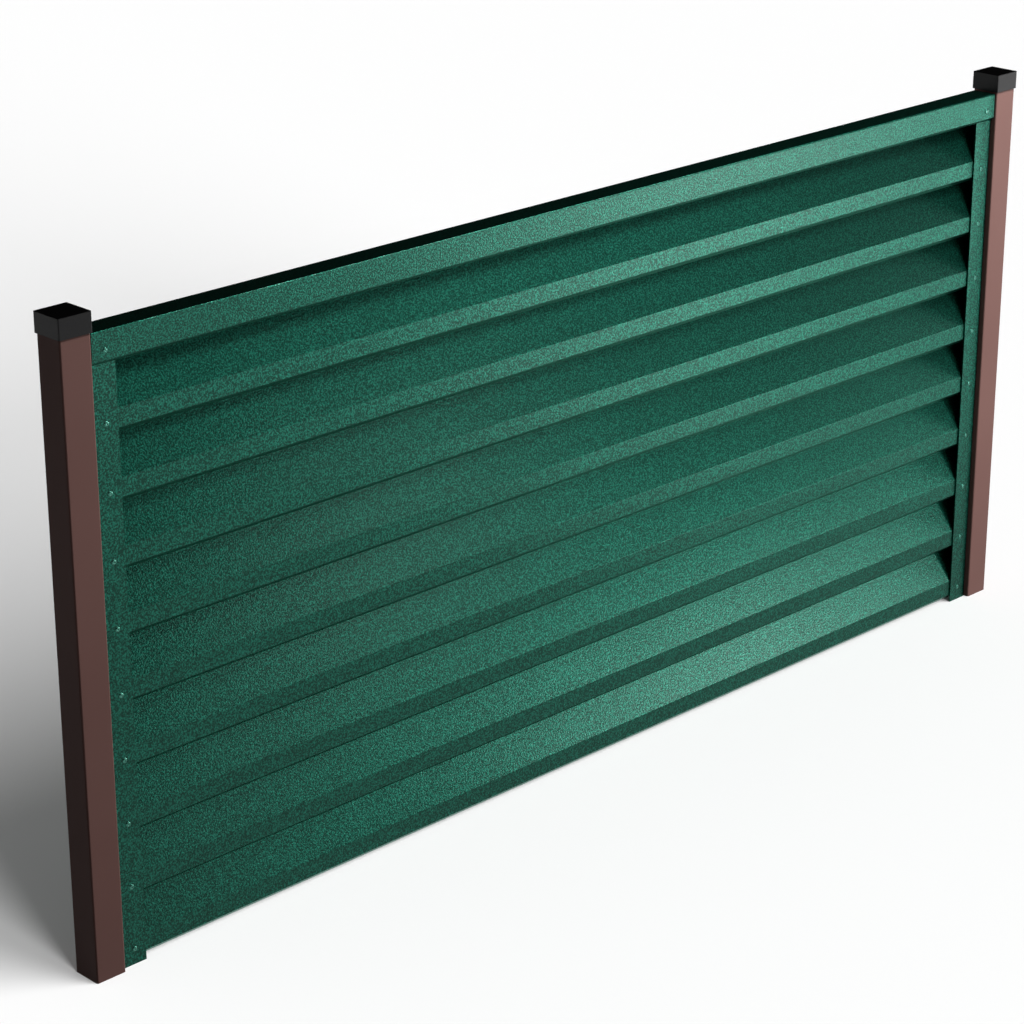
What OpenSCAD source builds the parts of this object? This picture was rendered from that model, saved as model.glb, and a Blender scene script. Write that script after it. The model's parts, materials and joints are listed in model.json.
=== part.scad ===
// One bay of a louvred steel fence: two capped square posts, and between them a stack of folded louvres
// riveted into two side channels under a folded top rail.
// The origin is on the left post's axis at ground level. X runs along the fence, Z points up,
// and the front of the fence looks along -Y.

/* [Bay] */
// Distance between the axes of the two posts
bay_pitch = 2400; // [1200:10:3000]

/* [Posts] */
// Side of a post's square tube
post_w = 60; // [40:1:100]
// Wall of a post's tube
post_wall = 2; // [1.5:0.5:2.5]
// Outer corner radius of a post's tube
post_corner = 3; // [3:0.5:8]

/* [Post caps] */
// Height of a cap over all
cap_h = 36; // [20:1:60]
// Skirt wall of a cap
cap_wall = 2.2; // [1.6:0.1:4]
// Roof thickness of a cap
cap_roof = 3; // [2:0.5:6]
// Clearance between a cap's skirt and its post
cap_fit = 0.3; // [0.2:0.1:1]
// Outer radius of a cap's upright corners
cap_corner = 2; // [1.5:0.5:6]
// Rounding along a cap's upper edge
cap_edge = 1; // [0.4:0.1:1.4]
// Height of a cap's rim above the top rail
cap_lift = 3; // [0.5:0.1:6]

/* [Side channels] */
// Depth of a side channel from front to rear
channel_depth = 40; // [30:1:60]
// Width of a side channel's flanges
channel_flange = 52; // [35:1:80]
// Wall thickness of a side channel
channel_sheet = 3; // [1.5:0.1:4]
// Inner bend radius of a side channel
channel_bend = 2; // [1:0.1:3]

/* [Louvres] */
// Number of louvres in the stack
louvre_count = 9; // [3:1:16]
// Height from one louvre to the next
louvre_pitch = 118.3; // [100:0.1:150]
// Height of a louvre's upright front and rear faces
louvre_face = 33.3; // [20:0.1:50]
// Angle of a louvre's sloping middle above the level
louvre_slope = 67.65; // [55:0.05:72]
// Depth of the lips folded inwards along a louvre's two edges
louvre_lip = 9; // [5:0.5:12]
// Sheet thickness of a louvre
louvre_sheet = 0.8; // [0.5:0.1:1.5]
// Inner bend radius of a louvre
louvre_bend = 1.5; // [1:0.1:3]
// Height of the lowest front face above the ground
louvre_foot = 16; // [14:0.5:60]
// Gap between a louvre's ends and the bends of the side channels
louvre_end_gap = 1; // [0.5:0.5:5]

/* [Top rail] */
// Height of the rail's upright legs
rail_leg = 50; // [30:1:80]
// How far the rail's legs stand proud of the side channels
rail_proud = 6.5; // [5:0.5:12]
// Sheet thickness of the rail
rail_sheet = 1.2; // [0.8:0.1:2]
// Inner bend radius of the rail
rail_bend = 1.5; // [1:0.1:3]
// Gap between the rail's lips and the side channels
rail_lip_gap = 0.3; // [0.2:0.1:1]
// Gap between the rail's ends and the posts
rail_end_gap = 2.5; // [1:0.5:6]
// Air between the top louvre and the underside of the rail
rail_clear = 13; // [5:1:40]

/* [Hidden] */
$fn = 48;
lip_angle = 45;
bend_steps = 5;
post_paint = "#5d403b";
cap_plastic = "#1d1d1f";
panel_coat = "#2f6d5a";

post_inner_corner = max(post_corner - post_wall, post_wall / 4);
post_face = post_w / 2;

// The louvres fill the side channels from flange to flange, so the middle lines of their faces lie here
louvre_y = channel_depth / 2 - channel_sheet - louvre_sheet / 2;
louvre_rise = 2 * louvre_y * tan(louvre_slope);
louvre_lip_drop = louvre_lip * tan(lip_angle);
louvre_h = 2 * louvre_face + louvre_rise;
louvre_start = post_face + channel_sheet + channel_bend + louvre_end_gap;

// The top louvre sets the height of the rail, and the rail that of the posts and caps
stack_top = louvre_foot + (louvre_count - 1) * louvre_pitch + louvre_h + louvre_lip_drop;
channel_top = stack_top + rail_clear;
rail_top = channel_top + rail_sheet;
cap_rim = rail_top + cap_lift;
post_h = cap_rim + cap_h - cap_roof;

rail_y = channel_depth / 2 + rail_proud - rail_sheet / 2;
rail_ridge = rail_top - rail_sheet / 2;
rail_eave = rail_top - rail_leg;
rail_lip = rail_proud - rail_lip_gap - rail_sheet / 2 - rail_sheet / 2 * sin(lip_angle);
rail_lip_drop = rail_lip * tan(lip_angle);
rail_start = post_face + rail_end_gap;

cap_inner = post_w + 2 * cap_fit;
cap_w = cap_inner + 2 * cap_wall;
cap_inner_corner = post_corner + cap_fit;

// Middle line of a louvre's section in Y and Z: lip, front face, slope, rear face, lip
louvre_line = [
    [-louvre_y + louvre_lip, -louvre_lip_drop],
    [-louvre_y, 0],
    [-louvre_y, louvre_face],
    [louvre_y, louvre_face + louvre_rise],
    [louvre_y, louvre_h],
    [louvre_y - louvre_lip, louvre_h + louvre_lip_drop]
];

// Middle line of the rail's section in Y and Z: lip, front leg, roof, rear leg, lip
rail_line = [
    [-rail_y + rail_lip, rail_eave - rail_lip_drop],
    [-rail_y, rail_eave],
    [-rail_y, rail_ridge],
    [rail_y, rail_ridge],
    [rail_y, rail_eave],
    [rail_y - rail_lip, rail_eave - rail_lip_drop]
];

// Middle line of a side channel's section in X and Y: front flange, web, rear flange
channel_web = post_face + channel_sheet / 2;
channel_edge = post_face + channel_flange;
channel_y = channel_depth / 2 - channel_sheet / 2;
channel_line = [
    [channel_edge, -channel_y],
    [channel_web, -channel_y],
    [channel_web, channel_y],
    [channel_edge, channel_y]
];

louvre_names = [for (i = [1:louvre_count]) str("louvre_", i)];

// Unit vector from one point towards another
function heading(from, to) = (to - from) / norm(to - from);

// Unit vector at a given direction angle, and its left-hand normal
function left_of(angle) = [-sin(angle), cos(angle)];

// Signed angle from one heading to the next
function turn_of(d0, d1) = atan2(d0[0] * d1[1] - d0[1] * d1[0], d0 * d1);

// Stations [point, left normal] round one bend of the middle line, as an arc of the given radius
function bend(before, corner, after, radius) =
    let (
        d0 = heading(before, corner),
        turn = turn_of(d0, heading(corner, after)),
        start_angle = atan2(d0[1], d0[0]),
        side = sign(turn),
        start = corner - d0 * radius * tan(abs(turn) / 2),
        centre = start + left_of(start_angle) * side * radius
    )
    [
        for (k = [0:bend_steps])
            let (normal = left_of(start_angle + turn * k / bend_steps))
            [centre - normal * side * radius, normal]
    ];

// Station at a free end of the middle line
function free_end(point, from, to) =
    let (d = heading(from, to))
    [[point, left_of(atan2(d[1], d[0]))]];

// Stations along the whole middle line
function stations(line, radius) =
    let (last = len(line) - 1)
    concat(
        free_end(line[0], line[0], line[1]),
        [for (i = [1:last - 1]) each bend(line[i - 1], line[i], line[i + 1], radius)],
        free_end(line[last], line[last - 1], line[last])
    );

// Section of a sheet folded along a middle line, with the given inner bend radius
module folded_sheet(line, sheet, inner_radius) {
    path = stations(line, inner_radius + sheet / 2);
    near_side = [for (s = path) s[0] + s[1] * sheet / 2];
    far_side = [for (i = [len(path) - 1:-1:0]) path[i][0] - path[i][1] * sheet / 2];
    polygon(concat(near_side, far_side));
}

// Carries a section in Y and Z along the fence, the same distance from both posts
module along_fence(start) {
    translate([start, 0, 0])
        rotate([90, 0, 90])
            linear_extrude(bay_pitch - 2 * start)
                children();
}

// Turns a piece at the left post into its counterpart at the right post
module at_right_post() {
    translate([bay_pitch, 0, 0])
        mirror([1, 0, 0])
            children();
}

// Square with round corners, centred
module rounded_square(side, radius) {
    square([side, side - 2 * radius], center = true);
    square([side - 2 * radius, side], center = true);
    for (x = [-1, 1], y = [-1, 1])
        translate([x, y] * (side / 2 - radius))
            circle(radius);
}

module post() {
    color(post_paint)
        linear_extrude(post_h)
            difference() {
                rounded_square(post_w, post_corner);
                rounded_square(post_w - 2 * post_wall, post_inner_corner);
            }
}

// Corner of a cap: an upright round bar with its upper edge rounded over
module cap_corner_bar() {
    rotate_extrude() {
        square([cap_corner - cap_edge, cap_h]);
        square([cap_corner, cap_h - cap_edge]);
        translate([cap_corner - cap_edge, cap_h - cap_edge])
            intersection() {
                circle(cap_edge);
                square(cap_edge);
            }
    }
}

module post_cap() {
    color(cap_plastic)
        translate([0, 0, cap_rim])
            difference() {
                hull()
                    for (x = [-1, 1], y = [-1, 1])
                        translate([x, y, 0] * (cap_w / 2 - cap_corner))
                            cap_corner_bar();
                translate([0, 0, -cap_roof])
                    linear_extrude(cap_h)
                        rounded_square(cap_inner, cap_inner_corner);
            }
}

module side_channel() {
    color(panel_coat)
        linear_extrude(channel_top)
            folded_sheet(channel_line, channel_sheet, channel_bend);
}

module left_post() {
    post();
}

module right_post() {
    at_right_post() post();
}

module left_post_cap() {
    post_cap();
}

module right_post_cap() {
    at_right_post() post_cap();
}

module left_side_channel() {
    side_channel();
}

module right_side_channel() {
    at_right_post() side_channel();
}

module top_rail() {
    color(panel_coat)
        along_fence(rail_start)
            folded_sheet(rail_line, rail_sheet, rail_bend);
}

// Louvres count upwards from the ground
module louvre(i) {
    color(panel_coat)
        translate([0, 0, louvre_foot + (i - 1) * louvre_pitch])
            along_fence(louvre_start)
                folded_sheet(louvre_line, louvre_sheet, louvre_bend);
}

left_post();
right_post();
left_post_cap();
right_post_cap();
left_side_channel();
right_side_channel();
top_rail();
for (i = [1:louvre_count])
    louvre(i);
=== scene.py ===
# %% [markdown]
# # One bay of a louvred steel fence
# The real fence is folded from thin coated sheet and hung between two square tube posts. All of its
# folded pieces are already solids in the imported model, so this lesson gives them their finishes, adds
# the rivets that the solids leave out, and sets the bay in a plain studio.
# Loading the frame first means that every later piece can be placed from the model's own sizes.

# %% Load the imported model
import json
import math

import bpy
import numpy as np
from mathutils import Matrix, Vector


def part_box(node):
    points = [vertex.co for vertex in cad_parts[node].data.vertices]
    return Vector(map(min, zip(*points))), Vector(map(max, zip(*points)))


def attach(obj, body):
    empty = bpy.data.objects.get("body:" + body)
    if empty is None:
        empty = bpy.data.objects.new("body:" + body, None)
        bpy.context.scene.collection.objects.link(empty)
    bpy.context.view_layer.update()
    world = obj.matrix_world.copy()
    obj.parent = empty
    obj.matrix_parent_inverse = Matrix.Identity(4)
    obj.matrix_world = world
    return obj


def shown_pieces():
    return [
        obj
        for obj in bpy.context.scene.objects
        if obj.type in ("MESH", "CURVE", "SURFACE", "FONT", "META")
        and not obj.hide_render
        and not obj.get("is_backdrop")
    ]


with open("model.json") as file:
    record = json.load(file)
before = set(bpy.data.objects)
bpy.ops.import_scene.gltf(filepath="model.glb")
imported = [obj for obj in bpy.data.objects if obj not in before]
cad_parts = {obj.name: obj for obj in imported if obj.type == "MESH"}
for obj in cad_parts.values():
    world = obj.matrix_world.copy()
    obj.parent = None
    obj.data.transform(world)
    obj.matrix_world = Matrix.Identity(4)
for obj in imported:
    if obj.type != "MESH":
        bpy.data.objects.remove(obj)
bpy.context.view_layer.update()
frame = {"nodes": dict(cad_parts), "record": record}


# %% [markdown]
# ## Camera
# The photograph looks along the front of the bay from the left and from above eye level, with a long
# lens. Fitting the straight edges of the posts, the rail and the ground line gave the camera's place,
# its angles and its lens. An aim point would do as well, but angles say plainly that the camera stands
# almost level from side to side. It sees far enough for the floor to end at the horizon.

# %% Camera
CAMERA_PLACE = (-2.5779, -3.6136, 2.5218)
CAMERA_TILT = 68.9505
CAMERA_ROLL = 0.0965
CAMERA_HEADING = -44.6006
LENS_MM = 103.466
SENSOR_MM = 36.0
SIGHT_REACH = 6000.0

camera_data = bpy.data.cameras.new("camera")
camera_data.sensor_width = SENSOR_MM
camera_data.lens = LENS_MM
camera_data.clip_end = SIGHT_REACH
camera = bpy.data.objects.new("camera", camera_data)
camera.location = CAMERA_PLACE
camera.rotation_euler = [math.radians(a) for a in (CAMERA_TILT, CAMERA_ROLL, CAMERA_HEADING)]
bpy.context.scene.collection.objects.link(camera)
bpy.context.scene.camera = camera
print("camera", [round(v, 3) for v in CAMERA_PLACE], "lens", LENS_MM)

# %% [markdown]
# ## Node helpers
# A finish is a small graph of nodes. Two helpers fill the sockets of a node and add a new one, where a
# socket may take a number or the output of another node. A third starts a material with its surface
# shader. The sockets could be linked one by one instead, but then the graph would be hard to read.

# %% Node helpers
def fill(tree, node, **sockets):
    """Fills the sockets named with underscores for spaces, by a value or by another node's output."""
    for name, value in sockets.items():
        socket = node.inputs[name.replace("_", " ")]
        if isinstance(value, bpy.types.NodeSocket):
            tree.links.new(value, socket)
        else:
            socket.default_value = value


def put(tree, kind, settings=None, **sockets):
    """Adds a node, sets its properties and fills its sockets."""
    node = tree.nodes.new(kind)
    for name, value in (settings or {}).items():
        setattr(node, name, value)
    fill(tree, node, **sockets)
    return node


def new_finish(name):
    """Starts a material and returns it with its node tree and its Principled shader."""
    material = bpy.data.materials.new(name)
    material.use_nodes = True
    tree = material.node_tree
    print("finish", name)
    return material, tree, tree.nodes["Principled BSDF"]


# %% [markdown]
# ## Noise, colour and range
# Every finish here starts from noise in space. It reads Object coordinates, so the pattern stays on the
# piece and never tiles as a picture would. Its grey value is then turned into a colour between two ends
# or into a number between two ends.

# %% Noise, colour and range
def object_place(tree):
    """The place of a point on the piece, in metres."""
    return put(tree, "ShaderNodeTexCoord").outputs["Object"]


def noise(tree, place, size, detail):
    """Noise in space with features of about the given size in metres."""
    return put(tree, "ShaderNodeTexNoise", Vector=place, Scale=1 / size, Detail=detail).outputs["Fac"]


def ramp(tree, factor, low, high, low_at, high_at):
    """A colour ramp between two colours, held flat outside low_at and high_at."""
    node = put(tree, "ShaderNodeValToRGB", Fac=factor)
    first, last = node.color_ramp.elements
    first.position = low_at
    first.color = (*low, 1.0)
    last.position = high_at
    last.color = (*high, 1.0)
    return node.outputs["Color"]


def spread(tree, factor, low, high):
    """Maps a factor from 0..1 to low..high."""
    return put(tree, "ShaderNodeMapRange", Value=factor, To_Min=low, To_Max=high).outputs["Result"]


def bumped(tree, height, distance, strength):
    """The normal of a surface that a grey height lifts by up to distance in metres."""
    node = put(tree, "ShaderNodeBump", Strength=strength, Distance=distance, Height=height)
    return node.outputs["Normal"]


# %% [markdown]
# ## Textured green coating
# The louvres, the channels and the rail are steel sheet with a baked, grained coat. From where the camera
# stands its grains are as small as a pixel, so they show as flecks of lighter green and not as pebbles. A
# picture of them would tile, so one fine noise in space sets everything: the colour from hollow to grain,
# the roughness and a slight lift. The coat hardly scatters light, for a face turned to a lamp shines while
# the roof of the rail stays black. So the colour sits in the gloss, as on a metal, under a thin clear
# layer that pales where a lamp is mirrored.

# %% Textured green coating
GRAIN_SIZE = 0.003
GRAIN_DETAIL = 1.0
GRAIN_EDGES = (0.41, 0.71)
GRAIN_HEIGHT = 0.0004
GRAIN_STRENGTH = 1.0
GREEN_HOLLOW = (0.0021, 0.0260, 0.0170)
GREEN_GRAIN = (0.0084, 0.103, 0.070)
GREEN_ROUGHNESS = (0.42, 0.34)
GREEN_METAL = 1.0
GREEN_EDGE_TINT = (0.7, 1.0, 0.9, 1.0)
CLEAR_LAYER = 0.16
CLEAR_ROUGHNESS = 0.2
MOTTLE_SIZE = 0.35
MOTTLE_DETAIL = 3.0
MOTTLE_EDGES = (0.3, 0.7)
MOTTLE_DARK = (0.94, 0.94, 0.94)
MOTTLE_LIGHT = (1.05, 1.05, 1.05)


def times(tree, colour, shade):
    """The product of two colours.

    A Mix node's factor is input 0, its two colours are inputs 6 and 7, and their result is output 2."""
    node = put(tree, "ShaderNodeMix", {"data_type": "RGBA", "blend_type": "MULTIPLY"})
    node.inputs[0].default_value = 1.0
    tree.links.new(colour, node.inputs[6])
    tree.links.new(shade, node.inputs[7])
    return node.outputs[2]


def textured_green():
    """Grained green gloss that a slow mottle shades, under a thin clear layer with the same grain."""
    material, tree, shader = new_finish("textured_green_coating")
    place = object_place(tree)
    grain = noise(tree, place, GRAIN_SIZE, GRAIN_DETAIL)
    mottle = noise(tree, place, MOTTLE_SIZE, MOTTLE_DETAIL)
    colour = ramp(tree, grain, GREEN_HOLLOW, GREEN_GRAIN, *GRAIN_EDGES)
    shade = ramp(tree, mottle, MOTTLE_DARK, MOTTLE_LIGHT, *MOTTLE_EDGES)
    normal = bumped(tree, grain, GRAIN_HEIGHT, GRAIN_STRENGTH)
    fill(tree, shader, Base_Color=times(tree, colour, shade), Metallic=GREEN_METAL)
    fill(tree, shader, Roughness=spread(tree, grain, *GREEN_ROUGHNESS), Specular_Tint=GREEN_EDGE_TINT)
    fill(tree, shader, Coat_Weight=CLEAR_LAYER, Coat_Roughness=CLEAR_ROUGHNESS)
    fill(tree, shader, Normal=normal, Coat_Normal=normal)
    return material


panel_coating = textured_green()

# %% [markdown]
# ## Smooth green and a painted glint on the rivets
# The rivets are sold ready coated in the colour of the sheet, but their coat is thin and smooth, so a
# rivet glints where the sheet around it only shimmers. Their colour is painted lighter than the sheet's
# green as a painted glint, so the heads show as light specks.

# %% Smooth green and a painted glint on the rivets
# Lighter than the sheet's green: this extra lightness is a painted glint, not the coat's own colour.
RIVET_PAINTED_GLINT_LOW = (0.034, 0.130, 0.100)
RIVET_PAINTED_GLINT_HIGH = (0.055, 0.182, 0.138)
RIVET_ROUGHNESS = (0.26, 0.38)
SCUFF_SIZE = 0.003
SCUFF_DETAIL = 2.0
SCUFF_EDGES = (0.35, 0.65)


def smooth_green_with_painted_glint():
    """Green gloss painted lighter than the sheet as a painted glint, whose colour and roughness change
    with a fine scuff.
    """
    material, tree, shader = new_finish("smooth_green_painted_glint")
    scuff = noise(tree, object_place(tree), SCUFF_SIZE, SCUFF_DETAIL)
    fill(tree, shader, Base_Color=ramp(tree, scuff, RIVET_PAINTED_GLINT_LOW, RIVET_PAINTED_GLINT_HIGH, *SCUFF_EDGES))
    fill(tree, shader, Roughness=spread(tree, scuff, *RIVET_ROUGHNESS), Metallic=GREEN_METAL)
    return material


rivet_coating_and_painted_glint = smooth_green_with_painted_glint()

# %% [markdown]
# ## Brown post paint
# The posts are smooth powder-coated tube. What shows on it is a satin gloss, a faint orange peel and a
# very slow change of tone, so one slow noise moves the colour and the gloss together.

# %% Brown post paint
BROWN_LOW = (0.155, 0.082, 0.072)
BROWN_HIGH = (0.172, 0.092, 0.081)
BROWN_ROUGHNESS = (0.26, 0.32)
BROWN_GLOSS = 0.03
PEEL_SIZE = 0.0025
PEEL_DETAIL = 1.0
PEEL_HEIGHT = 0.0003
PEEL_STRENGTH = 0.05


def satin_brown():
    """Dull brown under a weak gloss, with the slow mottle in its tone and a fine peel in its surface."""
    material, tree, shader = new_finish("satin_brown_paint")
    place = object_place(tree)
    peel = noise(tree, place, PEEL_SIZE, PEEL_DETAIL)
    mottle = noise(tree, place, MOTTLE_SIZE, MOTTLE_DETAIL)
    fill(tree, shader, Base_Color=ramp(tree, mottle, BROWN_LOW, BROWN_HIGH, *MOTTLE_EDGES))
    fill(tree, shader, Roughness=spread(tree, mottle, *BROWN_ROUGHNESS), Specular_IOR_Level=BROWN_GLOSS)
    fill(tree, shader, Normal=bumped(tree, peel, PEEL_HEIGHT, PEEL_STRENGTH))
    return material


post_paint = satin_brown()

# %% [markdown]
# ## Black cap plastic
# The caps are moulded in black plastic with a fine spark-eroded texture, so they look dull from above
# and show a soft sheen along the lit side.

# %% Black cap plastic
BLACK_LOW = (0.040, 0.040, 0.041)
BLACK_HIGH = (0.054, 0.054, 0.055)
BLACK_ROUGHNESS = (0.26, 0.36)
BLACK_GLOSS = 0.08
SPARK_SIZE = 0.0009
SPARK_DETAIL = 2.0
SPARK_EDGES = (0.35, 0.65)
SPARK_HEIGHT = 0.0002
SPARK_STRENGTH = 0.15


def moulded_black():
    """Black plastic whose colour, roughness and lift all follow one very fine noise."""
    material, tree, shader = new_finish("moulded_black_plastic")
    spark = noise(tree, object_place(tree), SPARK_SIZE, SPARK_DETAIL)
    fill(tree, shader, Base_Color=ramp(tree, spark, BLACK_LOW, BLACK_HIGH, *SPARK_EDGES))
    fill(tree, shader, Roughness=spread(tree, spark, *BLACK_ROUGHNESS), Specular_IOR_Level=BLACK_GLOSS)
    fill(tree, shader, Normal=bumped(tree, spark, SPARK_HEIGHT, SPARK_STRENGTH))
    return material


cap_plastic = moulded_black()

# %% [markdown]
# ## Finishes on the solids
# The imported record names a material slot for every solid. Reading the slot from it, rather than listing
# the solids again, keeps the looks right when the number of louvres changes.

# %% Finishes on the solids
finishes = {"panel_coating": panel_coating, "post_paint": post_paint, "cap_plastic": cap_plastic}
for part in frame["record"]["subparts"]:
    node = frame["nodes"][part["node"]]
    node.data.materials.clear()
    node.data.materials.append(finishes[part["material_slot"]])

# %% [markdown]
# ## The profile of a rivet's head
# A blind rivet is set from one side: its mandrel is pulled until it breaks, which leaves a low round
# head with a small well in the middle. The head is a turned shape, so one profile carried round the axis
# describes all of it. The profile starts and ends on the axis, which closes the surface at both poles.

# %% The profile of a rivet's head
HEAD_RADIUS = 0.00475
HEAD_HEIGHT = 0.0017
HEAD_SINK = 0.0001
WELL_RADIUS = 0.0016
WELL_DEPTH = 0.0009
WELL_FOOT = 0.8
WELL_FLOOR = 0.7
DOME_STEPS = 9


def head_profile():
    """Radius and height along the head: under the rim, over the dome and down into the well.

    The dome is a quarter of an ellipse, radius = well + (rim - well) cos t and height = crown sin t.
    The well narrows to its foot, and one more ring on its floor keeps the corner sharp."""
    t = np.linspace(0, math.pi / 2, DOME_STEPS)
    dome_radius = WELL_RADIUS + (HEAD_RADIUS - WELL_RADIUS) * np.cos(t)
    dome_height = HEAD_HEIGHT * np.sin(t)
    well_radius = [WELL_FOOT * WELL_RADIUS, WELL_FLOOR * WELL_RADIUS, 0]
    well_height = np.full(len(well_radius), HEAD_HEIGHT - WELL_DEPTH)
    radius = np.concatenate([[0, HEAD_RADIUS], dome_radius, well_radius])
    height = np.concatenate([[-HEAD_SINK, -HEAD_SINK], dome_height, well_height])
    return radius, height


head_radius, head_height = head_profile()
print("rivet head:", len(head_radius), "points along its profile")

# %% [markdown]
# ## Turning the heads
# Each row of rivets is one mesh, because an object for every rivet would only make the list of pieces
# long. The points of one head are worked out once and moved to every centre. Rings of points are joined
# by four-sided faces, and each pole closes its ring with a fan. On the rear the axis points the other
# way, so the faces are listed the other way round to look outwards.

# %% Turning the heads
TURN_STEPS = 32


def head_points(outward):
    """Points of one head at the origin: all rings first, then the pole underneath and the one in the well.

    With s along the profile and a round the axis, a point is
    radius(s) (cos a, 0, sin a) + height(s) (0, outward, 0)."""
    a = np.arange(TURN_STEPS) * 2 * math.pi / TURN_STEPS
    ring_radius = head_radius[1:-1, None]
    ring_height = outward * head_height[1:-1, None] + 0 * a
    rings = np.stack([ring_radius * np.cos(a), ring_height, ring_radius * np.sin(a)], axis=-1)
    pole_height = outward * head_height[[0, -1]]
    poles = np.stack([0 * pole_height, pole_height, 0 * pole_height], axis=-1)
    return np.concatenate([rings.reshape(-1, 3), poles])


def head_faces(outward):
    """Point numbers of one head's faces: quads between neighbouring rings, and a fan at each pole."""
    here = np.arange(TURN_STEPS)
    after = (here + 1) % TURN_STEPS
    ring_count = len(head_radius) - 2
    row = TURN_STEPS * np.arange(ring_count - 1)[:, None]
    above = row + TURN_STEPS
    quads = np.stack([row + here, row + after, above + after, above + here], axis=-1).reshape(-1, 4)
    last_row = TURN_STEPS * (ring_count - 1)
    under_pole = np.full_like(here, TURN_STEPS * ring_count)
    well_pole = under_pole + 1
    under_fan = np.stack([under_pole, after, here], axis=-1)
    well_fan = np.stack([well_pole, last_row + here, last_row + after], axis=-1)
    fans = np.concatenate([under_fan, well_fan])
    turn = slice(None, None, -outward)
    return quads[:, turn], fans[:, turn]


def turned_heads(name, centres, outward):
    """One mesh of equal heads, one at each centre, whose axes point along outward times Y."""
    head = head_points(outward)
    quads, fans = head_faces(outward)
    points = (centres[:, None, :] + head).reshape(-1, 3)
    copies = len(head) * np.arange(len(centres))[:, None, None]
    faces = (quads + copies).reshape(-1, 4).tolist()
    faces += (fans + copies).reshape(-1, 3).tolist()
    mesh = bpy.data.meshes.new(name)
    mesh.from_pydata(points.tolist(), [], faces)
    mesh.polygons.foreach_set("use_smooth", np.ones(len(faces), dtype=bool))
    return bpy.data.objects.new(name, mesh)


print("points in one head:", len(head_points(1)))

# %% [markdown]
# ## Heights of the rivets
# Each louvre is riveted through the channels' flanges near the middle of its upright faces, and one more
# rivet at each end holds the rail. The rear repeats the front: there the faces sit at the top of each
# louvre, and the top one lies behind the rail's leg, where the rail's own rivet goes through both.
# The heights come from the boxes of the louvres, so the rivets follow the louvres when they move.

# %% Heights of the rivets
RIVET_RISE = 0.0224
RAIL_RIVET_DROP = 0.0335

louvre_boxes = [np.array(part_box(name)) for name in sorted(frame["nodes"]) if name.startswith("louvre")]
front_heights = np.array([low[2] + RIVET_RISE for low, high in louvre_boxes])
rear_heights = np.sort([high[2] - RIVET_RISE for low, high in louvre_boxes])[:-1]
rail_low, rail_high = np.array(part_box("top_rail"))
rail_height = rail_high[2] - RAIL_RIVET_DROP
print("rivets a side, front:", len(front_heights) + 1, "rear:", len(rear_heights) + 1)

# %% [markdown]
# ## Rivets along the channels
# A head sits with its rim on the sheet that it holds: on the channel's flange for the louvres, and on
# the rail's leg, which stands further out, for the rail. So each row takes its depth from the boxes of
# the channel and of the rail, and nothing hangs in the air.

# %% Rivets along the channels
RIVET_INSET = 0.0282


def row_of_rivets(name, x, flange_y, heights, rail_y, outward):
    """A column of rivets on a channel's flange and one on the rail above it."""
    centres = np.stack([np.full_like(heights, x), np.full_like(heights, flange_y), heights], axis=-1)
    centres = np.concatenate([centres, [[x, rail_y, rail_height]]])
    rivets = turned_heads(name, centres, outward)
    rivets.data.materials.append(rivet_coating_and_painted_glint)
    bpy.context.scene.collection.objects.link(rivets)
    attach(rivets, "root")
    print(name, len(centres), "rivets,", len(rivets.data.polygons), "faces")


for side, inward in (("left", 1), ("right", -1)):
    low, high = np.array(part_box(side + "_side_channel"))
    x = (low[0] if inward > 0 else high[0]) + inward * RIVET_INSET
    row_of_rivets("front_rivets_" + side, x, low[1], front_heights, rail_low[1], -1)
    row_of_rivets("rear_rivets_" + side, x, high[1], rear_heights, rail_high[1], 1)

# %% [markdown]
# ## White floor
# The bay stands on a white floor that takes a long soft shadow. A real white floor would also throw much
# light up under the louvres, where the photograph is dark, so the floor is white to the camera, to
# reflections and through glass, and black to the light that it would bounce. It reaches to the horizon,
# so that no edge of it shows.

# %% White floor
FLOOR_REACH = 3000.0
FLOOR_DROP = 0.0002
FLOOR_WHITE = (0.8, 0.8, 0.8, 1.0)
FLOOR_BLACK = (0.0, 0.0, 0.0, 1.0)

floor_square = np.array([[-1, -1, 0], [1, -1, 0], [1, 1, 0], [-1, 1, 0]])
floor_corners = floor_square * FLOOR_REACH - [0, 0, FLOOR_DROP]
floor_mesh = bpy.data.meshes.new("floor")
floor_mesh.from_pydata(floor_corners.tolist(), [], [(0, 1, 2, 3)])
floor = bpy.data.objects.new("floor", floor_mesh)
bpy.context.scene.collection.objects.link(floor)
floor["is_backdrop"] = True
print("floor", 2 * FLOOR_REACH, "m square")

# %% [markdown]
# ## Floor paint
# A Light Path node tells which kind of ray arrives. The greatest of three of its outputs is 1 where the
# floor is looked at, straight, in a reflection or through glass, and it chooses between white and black.

# %% Floor paint
def greatest(tree, one, other):
    """The greater of two values."""
    node = put(tree, "ShaderNodeMath", {"operation": "MAXIMUM"})
    tree.links.new(one, node.inputs[0])
    tree.links.new(other, node.inputs[1])
    return node.outputs["Value"]


def white_to_the_eye():
    """Dull white where the floor is looked at, and black to the light that dull surfaces gather."""
    material, tree, shader = new_finish("white_floor")
    tree.nodes.remove(shader)
    rays = put(tree, "ShaderNodeLightPath").outputs
    seen = greatest(tree, rays["Is Camera Ray"], rays["Is Glossy Ray"])
    choice = put(tree, "ShaderNodeMixShader", Fac=greatest(tree, seen, rays["Is Transmission Ray"]))
    for place, colour in ((1, FLOOR_BLACK), (2, FLOOR_WHITE)):
        dull = put(tree, "ShaderNodeBsdfDiffuse", Color=colour)
        tree.links.new(dull.outputs["BSDF"], choice.inputs[place])
    tree.links.new(choice.outputs["Shader"], tree.nodes["Material Output"].inputs["Surface"])
    return material


floor_mesh.materials.append(white_to_the_eye())

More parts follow.
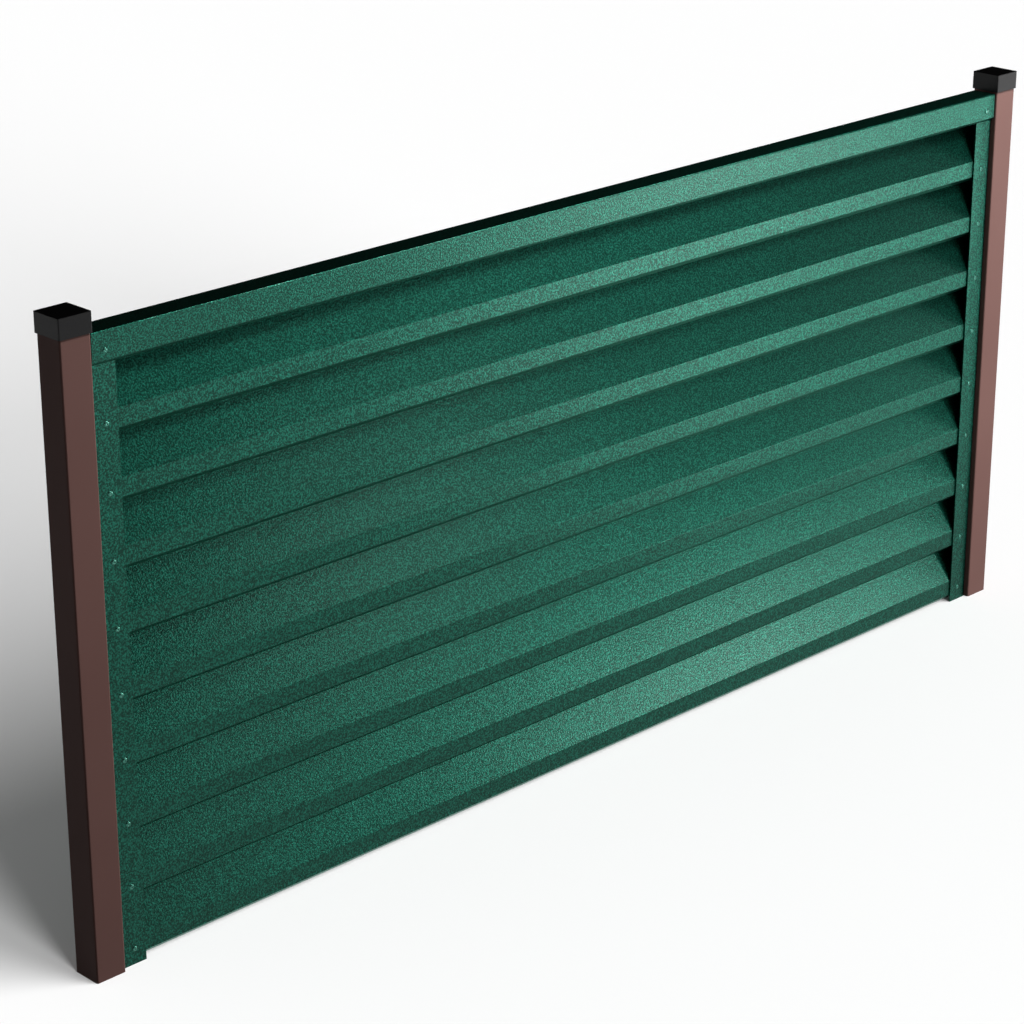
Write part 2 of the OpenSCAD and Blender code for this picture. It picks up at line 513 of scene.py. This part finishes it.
# %% [markdown]
# ## Receivers of light
# In the photograph the faces brighten to the right, each slope darkens under the face that overhangs it,
# and the roof of the rail and the tops of the caps stay black. One set of lamps can't light the bay like
# that and also draw the shadow on the floor. So each lamp is linked to what it lights through a
# collection of receivers: the whole bay, the bay without its caps, or the floor.

# %% Receivers of light
bay_lit = bpy.data.collections.new("lit_by_bay_lamps")
high_lit = bpy.data.collections.new("lit_by_high_lamps")
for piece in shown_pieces():
    bay_lit.objects.link(piece)
    if "cap" not in piece.name:
        high_lit.objects.link(piece)
floor_lit = bpy.data.collections.new("lit_by_floor_suns")
floor_lit.objects.link(floor)


def add_lamp(name, kind, receivers):
    """A lamp that lights only its receivers and isn't seen by the camera."""
    lamp = bpy.data.objects.new(name, bpy.data.lights.new(name, kind))
    bpy.context.scene.collection.objects.link(lamp)
    lamp.light_linking.receiver_collection = receivers
    lamp.visible_camera = False
    return lamp


# %% [markdown]
# ## Lamps on the bay
# The main lamps stand low at the right, where the upright faces mirror them. Lamps high in front of the
# fence light the slopes from above and leave out the caps. Weak fills, also behind the fence, keep the
# other sides readable. All of them are soft squares of one size that look at the middle of the bay.

# %% Lamps on the bay
AIM = Vector((1.2, 0.0, 0.6))
LAMP_SIZE = 0.8
# name, place in metres, watts
BAY_LAMPS = (
    ("far_right", (8.0, -1.0, 0.15), 165.0),
    ("right", (6.0, -1.0, 0.15), 32.0),
    ("low_right", (4.5, -2.6, 0.15), 30.0),
    ("low_centre", (4.1, -2.6, 0.15), 9.0),
    ("low_middle", (2.8, -1.6, 0.15), 7.0),
    ("low_near", (2.7, -0.9, 0.12), 1.6),
    ("low_nearest", (2.0, -0.8, 0.1), 1.0),
    ("front_fill", (2.8, -2.6, 1.3), 9.5),
    ("near_fill", (1.5, -2.1, 0.5), 2.5),
    ("left_fill", (-2.2, -1.0, 0.7), 3.5),
    ("rear_right", (5.0, 2.6, 0.5), 50.0),
    ("rear_middle", (1.2, 3.0, 0.6), 30.0),
)
HIGH_LAMPS = (
    ("high_far", (2.8, -1.6, 3.6), 125.0),
    ("high_near", (2.8, -1.0, 2.4), 34.0),
    ("high_left", (0.4, -1.0, 2.4), 6.0),
)

for lamps, receivers in ((BAY_LAMPS, bay_lit), (HIGH_LAMPS, high_lit)):
    for name, place, watts in lamps:
        lamp = add_lamp(name, "AREA", receivers)
        lamp.data.size = LAMP_SIZE
        lamp.data.energy = watts
        lamp.location = place
        lamp.rotation_euler = (AIM - lamp.location).to_track_quat("-Z", "Y").to_euler()
print("lamps on the bay:", len(BAY_LAMPS) + len(HIGH_LAMPS))

# %% [markdown]
# ## Suns on the floor
# The shadow on the floor has suns of its own: a broad one from the right, a low one that draws the shadow
# far out, and a dome that fills it. A wide sun gives a soft edge, so the width is set for each.

# %% Suns on the floor
# name, degrees to the right and up, width in degrees, strength
FLOOR_SUNS = (
    ("floor_sun", 33.0, 31.0, 52.0, 4.4),
    ("floor_low_sun", -11.0, 15.5, 20.0, 3.6),
    ("floor_dome", 0.0, 85.0, 120.0, 0.65),
)

for name, right, up, width, strength in FLOOR_SUNS:
    lamp = add_lamp(name, "SUN", floor_lit)
    lamp.data.angle = math.radians(width)
    lamp.data.energy = strength
    lamp.rotation_euler = (math.radians(90.0 - up), 0.0, math.radians(right))
print("suns on the floor:", len(FLOOR_SUNS))

# %% [markdown]
# ## World and view
# The world is almost black, as in a studio with dark walls, so hollows stay dark. The Standard view
# shows each colour as it is written, without a film curve.

# %% World and view
WALL_COLOUR = (1.0, 1.0, 1.0, 1.0)
WALL_GLOW = 0.008

world = bpy.data.worlds.new("studio")
world.use_nodes = True
fill(world.node_tree, world.node_tree.nodes["Background"], Color=WALL_COLOUR, Strength=WALL_GLOW)
bpy.context.scene.world = world
bpy.context.scene.view_settings.view_transform = "Standard"
print("world", world.name, "at", WALL_GLOW)
